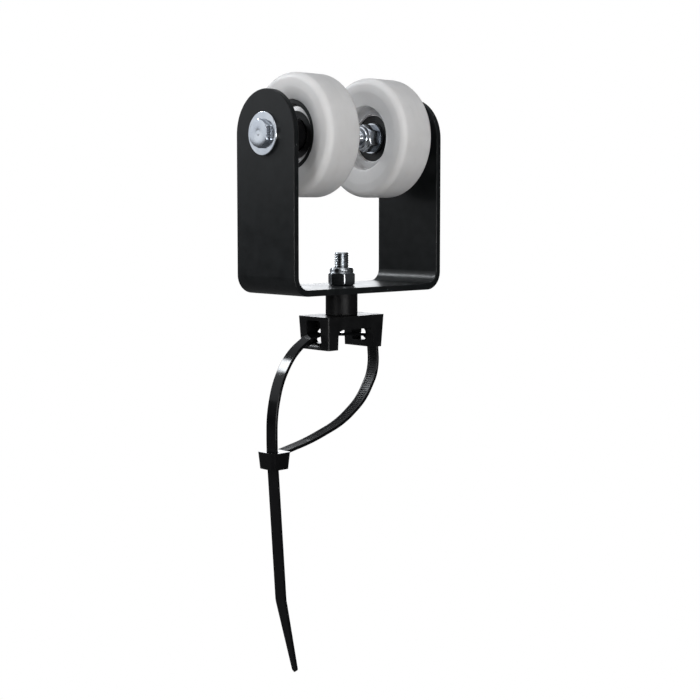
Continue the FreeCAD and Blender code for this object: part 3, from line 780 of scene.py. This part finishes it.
def lock_nut_builder():
    rings = [
        (BORE_RADIUS, 0.45),
        (4.5, 0.0),
        (6.15, 0.0),
        hexagon_ring(0.0, NUT_FOOT_RADIUS, False, inset=0.12),
        hexagon_ring(0.0, NUT_FOOT_RADIUS, False, drop=0.06, inset=0.02),
        hexagon_ring(0.0, NUT_FOOT_RADIUS, False, drop=0.25),
        hexagon_ring(NUT_HEX_HEIGHT, NUT_SHOULDER_RADIUS, True, drop=0.25),
        hexagon_ring(NUT_HEX_HEIGHT, NUT_SHOULDER_RADIUS, True, drop=0.06, inset=0.02),
        hexagon_ring(NUT_HEX_HEIGHT, NUT_SHOULDER_RADIUS, True, inset=0.12),
        (6.45, NUT_HEX_HEIGHT),
        (COLLAR_RADIUS + 0.08, NUT_HEX_HEIGHT + 0.05),
        (COLLAR_RADIUS, NUT_HEX_HEIGHT + 0.25),
    ]
    for step in range(COLLAR_STEPS + 1):
        angle = math.pi / 2 * step / COLLAR_STEPS
        radius = COLLAR_RADIUS - COLLAR_ROUNDING * (1 - math.cos(angle))
        rings.append((radius, NUT_HEIGHT - COLLAR_ROUNDING * (1 - math.sin(angle))))
    rings += [(4.35, NUT_HEIGHT - 0.02), (4.10, NUT_HEIGHT - 0.30), (BORE_RADIUS, RING_TOP)]
    rings += [(RING_RADIUS, RING_TOP), (RING_RADIUS, RING_FOOT), (BORE_RADIUS, RING_FOOT)]
    return swept_rings(rings, TURNED_SEGMENTS, closed=True)


hanger_nut_foot = box_mm("hanger_lock_nut")[0].z
axle_nut_foot = box_mm("axle_lock_nut_left")[1].y
NUTS = [
    ("axle_lock_nut_left", on_axle(1, axle_nut_foot, False), "bracket_frame"),
    ("axle_lock_nut_right", on_axle(-1, axle_nut_foot, False), "bracket_frame"),
    ("hanger_lock_nut", upright(hanger_nut_foot), "hanger"),
]
for node, stand, body in NUTS:
    material = DULL_ZINC if body == "hanger" else BRIGHT_ZINC
    nut = new_piece(f"collar_{node}", lock_nut_builder(), material, corner=40)
    finish_piece(nut, stand, body, "dull_zinc", node)

# %% [markdown]
# ## The moulded saddle and the tie's head
# These two have the right shape in CAD but knife-sharp edges, and a moulding never has those.
# A copy of each node is merged, its flat faces are joined up again, and a Bevel modifier
# rounds every corner a little, so that the edges catch the light.

# %% Mouldings with softened edges


def softened_copy(node, name, edge_mm, material):
    """A copy of a CAD node with every corner rounded by edge_mm."""
    builder = bmesh.new()
    builder.from_mesh(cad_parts[node].data)
    bmesh.ops.remove_doubles(builder, verts=builder.verts, dist=0.002 * MM)
    bmesh.ops.dissolve_limit(
        builder,
        angle_limit=math.radians(1.0),
        verts=builder.verts,
        edges=builder.edges,
        use_dissolve_boundaries=False,
    )
    piece = new_piece(name, builder, material, corner=30)
    bevel = piece.modifiers.new("edges", "BEVEL")
    bevel.width = edge_mm * MM
    bevel.segments = 3
    bevel.limit_method = "ANGLE"
    bevel.angle_limit = math.radians(30)
    bevel.use_clamp_overlap = True
    bevel.harden_normals = True
    seen = bpy.context.evaluated_depsgraph_get()
    soft_mesh = bpy.data.meshes.new_from_object(piece.evaluated_get(seen))
    piece.modifiers.clear()
    piece.data = soft_mesh
    return piece


saddle = softened_copy("tie_saddle", "moulded_saddle", 0.35, SADDLE_NYLON)
finish_piece(saddle, Matrix.Identity(4), "hanger", "black_moulded_nylon", "tie_saddle")
tie_head = softened_copy("tie_head", "cable_tie_head", 0.30, TIE_NYLON)
finish_piece(tie_head, Matrix.Identity(4), "tie", "glossy_tie_nylon", "tie_head")

# %% [markdown]
# ## The cable tie's path
# The tie starts at its head, rises in a loop, passes through the saddle's two windows, comes
# back down through the head and ends in a narrow tip. The path lies in one upright plane, so
# it is a list of corners with an arc at each, sampled evenly. Its length is printed, to
# compare with the lengths that real ties of this width come in.

# %% The tie's path
TIE_WIDTH = 7.6
TIE_THICKNESS = 1.6
TIE_TIP_WIDTH = 3.4
TIE_TIP_LENGTH = 38.0
TIE_ROUTE = [
    (-41.8, -81.0),
    (-23.6, -77.4),
    (-0.9, -70.0),
    (14.4, -59.2),
    (22.3, -46.5),
    (23.7, -38.9),
    (22.5, -24.2),
    (-20.4, -21.5),
    (-35.0, -30.2),
    (-44.1, -44.0),
    (-48.4, -60.9),
    (-48.5, -80.1),
    (-42.9, -158.6),
    (-33.2, -198.8),
]
TIGHT_BENDS = {6: 7.0, 12: 14.0}  # corner number: radius of its arc
EASY_BEND = 0.45  # elsewhere the arc takes this share of the shorter side
SAMPLE_SPACING = 0.8


def path_samples(route, spacing):
    """Points and directions along the path, in the Y-Z plane, in millimetres."""
    corners = [Vector(point) for point in route]
    dense = [corners[0]]
    for i in range(1, len(corners) - 1):
        back = corners[i - 1] - corners[i]
        ahead = corners[i + 1] - corners[i]
        half_angle = back.angle(ahead) / 2
        easy = EASY_BEND * min(back.length, ahead.length) * math.tan(half_angle)
        radius = TIGHT_BENDS.get(i, easy)
        reach = radius / math.tan(half_angle)
        bisector = (back.normalized() + ahead.normalized()).normalized()
        middle = corners[i] + bisector * (radius / math.sin(half_angle))
        first = corners[i] + back.normalized() * reach - middle
        last = corners[i] + ahead.normalized() * reach - middle
        dense += arc_points(middle, first, last, 24)
    dense.append(corners[-1])
    travelled = [0.0]
    for one, two in zip(dense, dense[1:]):
        travelled.append(travelled[-1] + (two - one).length)
    total = travelled[-1]
    count = round(total / spacing)
    samples = []
    k = 0
    for n in range(count + 1):
        wanted = total * n / count
        while k < len(travelled) - 2 and travelled[k + 1] < wanted:
            k += 1
        step = dense[k + 1] - dense[k]
        share = (wanted - travelled[k]) / max(step.length, 1e-9)
        samples.append((wanted, dense[k] + step * share, step.normalized()))
    return samples, total


tie_path, tie_length = path_samples(TIE_ROUTE, SAMPLE_SPACING)
print("tie path:", len(tie_path), "samples,", round(tie_length), "mm")

# %% [markdown]
# ## The strap
# The strap is the same section all along the path: a flat band with rounded edges and a
# shallow trough down the middle of the side that faces into the loop, where the teeth sit.
# Towards the tip the band narrows and ends round.

# %% The strap
TROUGH_HALF_WIDTH = 2.55
TROUGH_DEPTH = 0.42
TROUGH_WALL_LEAN = 0.18
TOOTHED_START = 17.0
EDGE_ROUNDING = 0.35
FLAT_MARGIN = 0.12
RIBBED_SIDES = range(13, 18)  # the sides of the section that are the trough and its lips


def strap_width(height, left):
    """The strap's width at a height above the tip's end, with a round end."""
    share = min(1.0, max(0.0, height / TIE_TIP_LENGTH))
    width = TIE_TIP_WIDTH + (TIE_WIDTH - TIE_TIP_WIDTH) * share
    round_end = TIE_TIP_WIDTH / 2
    if left < round_end:
        width *= math.sqrt(max(0.02, 1 - (1 - left / round_end) ** 2))
    return width


def strap_section(width, thickness, trough):
    """The section as (across, inward) points, in order round the strap."""
    half = width / 2
    deep = thickness / 2
    soft = min(EDGE_ROUNDING, half * 0.5)
    inner = TROUGH_HALF_WIDTH * width / TIE_WIDTH
    floor_edge = inner - TROUGH_WALL_LEAN

    def rounded_edge(sign_across, sign_in, first):
        angles = [math.radians(first + 30 * step) for step in range(4)]
        across, inward = sign_across * (half - soft), sign_in * (deep - soft)
        return [(across + soft * math.cos(angle), inward + soft * math.sin(angle)) for angle in angles]

    # A point beside each rounded edge keeps the outer face flat where the light falls on it.
    flat_edge = half - soft - FLAT_MARGIN
    outer = rounded_edge(-1, -1, 180) + [(-flat_edge, -deep), (flat_edge, -deep)] + rounded_edge(1, -1, 270)
    cut = [(inner, deep), (floor_edge, deep - trough), (-floor_edge, deep - trough), (-inner, deep)]
    return outer + rounded_edge(1, 1, 0) + cut + rounded_edge(-1, 1, 90)


def strap_builder():
    builder = bmesh.new()
    loops = []
    tip_z = TIE_ROUTE[-1][1]
    for travelled, point, along in tie_path:
        left = tie_length - travelled
        width = strap_width(point.y - tip_z, left) if travelled > tie_length / 2 else TIE_WIDTH
        fade_in = max(0.05, (travelled - TOOTHED_START) / 2)
        fade_out = max(0.05, (left - 12) / 4)
        trough = TROUGH_DEPTH * min(1.0, fade_in, fade_out)
        inward = Vector((-along.y, along.x))
        loop = []
        for across, depth in strap_section(width, TIE_THICKNESS, trough):
            spot = point + inward * depth
            loop.append(builder.verts.new((across * MM, spot.x * MM, (BASE_Z + spot.y) * MM)))
        loops.append(loop)
    for lower, upper in zip(loops, loops[1:]):
        for i in range(len(lower)):
            j = (i + 1) % len(lower)
            face = builder.faces.new((lower[i], lower[j], upper[j], upper[i]))
            face.material_index = int(i in RIBBED_SIDES)
    builder.faces.new(loops[0][::-1])
    builder.faces.new(loops[-1])
    return builder


strap = new_piece("cable_tie_strap", strap_builder(), TIE_NYLON, corner=35)
strap.data.materials.append(TEETH_NYLON)
finish_piece(strap, Matrix.Identity(4), "tie", "glossy_tie_nylon", "tie_strap")

# %% [markdown]
# ## The teeth
# About two hundred small ratchet teeth cross the trough. That repeats along a path, so
# Geometry Nodes place them: a line down the trough's floor becomes a curve, the curve becomes
# evenly spaced points, and each point gets a leaning block turned to the strap's direction.

# %% A Geometry Nodes tree that sets the teeth


def make_teeth_tree():
    tree = Tree(
        "tie_teeth",
        [
            ("Line", "NodeSocketGeometry", None),
            ("Pitch", "NodeSocketFloat", 0.0013),
            ("Tooth Width", "NodeSocketFloat", 0.0047),
            ("Tooth Height", "NodeSocketFloat", 0.0004),
            ("Lean", "NodeSocketFloat", 0.0003),
            ("Material", "NodeSocketMaterial", None),
        ],
    )
    given = tree.start
    curve = tree.add("GeometryNodeMeshToCurve", {"Mesh": given["Line"]}).outputs[0]
    points = tree.add("GeometryNodeCurveToPoints", {"Curve": curve, "Length": given["Pitch"]}, mode="LENGTH")
    thickness = tree.math("MULTIPLY", given["Tooth Height"], 2.0)
    foot = tree.math("MULTIPLY", given["Pitch"], 0.62)
    size = tree.add("ShaderNodeCombineXYZ", {"X": given["Tooth Width"], "Y": foot, "Z": thickness}).outputs[0]
    block = tree.add("GeometryNodeMeshCube", {"Size": size}).outputs["Mesh"]
    place = tree.add("GeometryNodeInputPosition").outputs[0]
    split = tree.add("ShaderNodeSeparateXYZ", {0: place}).outputs
    is_top = tree.math("GREATER_THAN", split["Z"], 0.0)
    pulled = tree.math("MULTIPLY", split["Y"], -0.65)
    shift = tree.add("ShaderNodeCombineXYZ", {"Y": tree.math("ADD", pulled, given["Lean"])}).outputs[0]
    tooth = tree.add("GeometryNodeSetPosition", {"Geometry": block, "Selection": is_top, "Offset": shift})
    tangent = {"Vector": points.outputs["Tangent"]}
    turned = tree.add("FunctionNodeAlignRotationToVector", tangent, axis="Y", pivot_axis="X")
    placed = tree.add(
        "GeometryNodeInstanceOnPoints",
        {"Points": points.outputs["Points"], "Instance": tooth.outputs[0], "Rotation": turned.outputs[0]},
    )
    return tree.finish(placed.outputs[0])


def trough_line():
    """The line along the trough's floor where teeth are moulded, as a mesh of edges."""
    floor = TIE_THICKNESS / 2 - TROUGH_DEPTH
    spots = []
    for travelled, point, along in tie_path:
        if TOOTHED_START + 2 < travelled < tie_length - TIE_TIP_LENGTH - 2:
            spot = point + Vector((-along.y, along.x)) * floor
            spots.append((0, spot.x * MM, (BASE_Z + spot.y) * MM))
    line = bpy.data.meshes.new("trough_line")
    line.from_pydata(spots, [(i, i + 1) for i in range(len(spots) - 1)], [])
    return line


TOOTH_PITCH = 1.3
TOOTH_SIDE_GAP = 0.15
TOOTH_TOP_GAP = 0.04
TOOTH_LEAN = 0.18
teeth_mesh = made_by(
    make_teeth_tree(),
    trough_line(),
    Pitch=TOOTH_PITCH * MM,
    Tooth_Width=2 * (TROUGH_HALF_WIDTH - TOOTH_SIDE_GAP) * MM,
    Tooth_Height=(TROUGH_DEPTH - TOOTH_TOP_GAP) * MM,
    Lean=TOOTH_LEAN * MM,
    Material=TEETH_NYLON,
)
teeth = bpy.data.objects.new("cable_tie_teeth", teeth_mesh)
scene.collection.objects.link(teeth)
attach(teeth, "tie")
print("teeth faces:", len(teeth_mesh.polygons))

# %% [markdown]
# ## Floor, light and camera
# The stage is a floor that looks white to the camera but throws back little light. Polished
# and black pieces show whatever they face, so the soft panels are placed by what each one is
# reflected in: the head of an axle bolt and its washer, the bend of the cable tie, the nut.
# The wheels are lit from above and from low in front, on the right. The camera looks slightly
# down at the trolley from one corner.

# %% Floor
FLOOR_SIZE = 30.0
floor_z = cad_low.z - 0.05
floor_builder = bmesh.new()
bmesh.ops.create_grid(floor_builder, x_segments=1, y_segments=1, size=FLOOR_SIZE)
floor_mesh = bpy.data.meshes.new("floor")
floor_builder.to_mesh(floor_mesh)
floor_builder.free()
floor_mesh.transform(Matrix.Translation((0, 0, floor_z)))
floor_finish = Finish("pale_floor", (0.12, 0.12, 0.12), 0.9)
floor_finish.roughness(floor_finish.spread(floor_finish.noise(20), 0.85, 0.95))
white_paper = floor_finish.nodes.new("ShaderNodeEmission")
floor_mix = floor_finish.nodes.new("ShaderNodeMixShader")
seen_directly = floor_finish.nodes.new("ShaderNodeLightPath").outputs["Is Camera Ray"]
floor_finish.links.new(seen_directly, floor_mix.inputs["Fac"])
floor_finish.links.new(floor_finish.shader.outputs[0], floor_mix.inputs[1])
floor_finish.links.new(white_paper.outputs[0], floor_mix.inputs[2])
floor_finish.links.new(floor_mix.outputs[0], floor_finish.nodes["Material Output"].inputs["Surface"])
floor_mesh.materials.append(floor_finish.material)
floor = bpy.data.objects.new("floor", floor_mesh)
scene.collection.objects.link(floor)
floor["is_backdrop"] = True
print("floor height:", round(floor_z, 3), "m")

# %% Soft panels


def soft_panel(name, direction, distance, size, power, tint=(1, 1, 1)):
    """A rectangular light that faces the bracket's foot from a direction."""
    data = bpy.data.lights.new(name, "AREA")
    data.shape = "RECTANGLE"
    data.size, data.size_y = size
    data.energy = power
    data.color = tint
    lamp = bpy.data.objects.new(name, data)
    towards = Vector(direction).normalized()
    lamp.location = Vector((0, 0, BASE_Z * MM)) + towards * distance
    lamp.rotation_euler = towards.to_track_quat("Z", "Y").to_euler()
    lamp.visible_camera = False
    scene.collection.objects.link(lamp)


# name, direction, distance in metres, width and height in metres, power in watts, tint
soft_panel("overhead", (-0.15, -0.35, 1.0), 1.6, (1.5, 1.5), 6)
soft_panel("highlight_panel", (-0.757, -0.36, 0.525), 1.8, (0.42, 0.23), 13, (0.92, 0.96, 1.0))
soft_panel("backdrop_panel", (-0.74, 0.66, 0.14), 2.2, (1.6, 0.7), 13, (0.95, 0.97, 1.0))
soft_panel("side_panel", (-0.76, -0.65, 0.36), 0.75, (0.62, 0.40), 0.80, (0.93, 0.96, 1.0))
soft_panel("front_panel", (0.08, -1.0, 0.12), 1.3, (0.35, 0.35), 4.5)
soft_panel("fill_panel", (0.75, -0.45, 0.75), 1.6, (0.8, 0.8), 8)
soft_panel("low_panel", (0.93, -0.30, -0.10), 0.9, (0.6, 0.28), 5.4)

# %% [markdown]
# The rest of the light comes from a sky that is brighter higher up, and dimmer towards the
# corner that the bracket's cut edges face, which keeps them dark. The camera sees plain white.

# %% Sky
world = bpy.data.worlds.new("studio")
world.use_nodes = True
scene.world = world
world_nodes = world.node_tree.nodes
world_links = world.node_tree.links
direction = world_nodes.new("ShaderNodeTexCoord").outputs["Generated"]
split_direction = world_nodes.new("ShaderNodeSeparateXYZ")
world_links.new(direction, split_direction.inputs[0])
height_ramp = world_nodes.new("ShaderNodeValToRGB")
low_stop, high_stop = height_ramp.color_ramp.elements
low_stop.position, low_stop.color = 0.0, (0.14, 0.144, 0.15, 1)
high_stop.position, high_stop.color = 0.9, (0.60, 0.62, 0.65, 1)
world_links.new(split_direction.outputs["Z"], height_ramp.inputs[0])
towards_shade = world_nodes.new("ShaderNodeVectorMath")
towards_shade.operation = "DOT_PRODUCT"
towards_shade.inputs[1].default_value = (0.70, 0.71, 0.0)
world_links.new(direction, towards_shade.inputs[0])
shade_strength = world_nodes.new("ShaderNodeMapRange")
for label, value in (("From Min", -0.4), ("From Max", 0.7), ("To Min", 1.0), ("To Max", 0.35)):
    shade_strength.inputs[label].default_value = value
world_links.new(towards_shade.outputs["Value"], shade_strength.inputs["Value"])
sky = world_nodes["Background"]
world_links.new(height_ramp.outputs[0], sky.inputs["Color"])
world_links.new(shade_strength.outputs[0], sky.inputs["Strength"])
plain_white = world_nodes.new("ShaderNodeBackground")
plain_white.inputs["Color"].default_value = (1, 1, 1, 1)
choose = world_nodes.new("ShaderNodeMixShader")
ray = world_nodes.new("ShaderNodeLightPath")
world_links.new(ray.outputs["Is Camera Ray"], choose.inputs["Fac"])
world_links.new(sky.outputs[0], choose.inputs[1])
world_links.new(plain_white.outputs[0], choose.inputs[2])
world_links.new(choose.outputs[0], world_nodes["World Output"].inputs["Surface"])
scene.view_settings.view_transform = "Standard"
print("sky nodes:", len(world_nodes))

# %% Camera
CAMERA_PITCH = 4.320
CAMERA_AZIMUTH = 46.883
camera_data = bpy.data.cameras.new("camera")
camera_data.sensor_width = 36.0
camera_data.sensor_fit = "HORIZONTAL"
camera_data.lens = 69.82
camera_data.shift_y = -0.06
camera_data.clip_start = 0.01
camera_data.clip_end = 100.0
camera = bpy.data.objects.new("camera", camera_data)
camera.location = (0.5286, -0.4888, 0.0454 + BASE_Z * MM)
camera.rotation_euler = (math.radians(90 - CAMERA_PITCH), 0, math.radians(CAMERA_AZIMUTH))
scene.collection.objects.link(camera)
scene.camera = camera
print("camera at", [round(value, 3) for value in camera.location])

# %% [markdown]
# ## Sizes and the end
# The finished model should fill the same box as the CAD model.

# %% Compare the finished box with the CAD box
low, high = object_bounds()
print("box differs by at most", round(max((low - cad_low).length, (high - cad_high).length) / MM, 2), "mm")
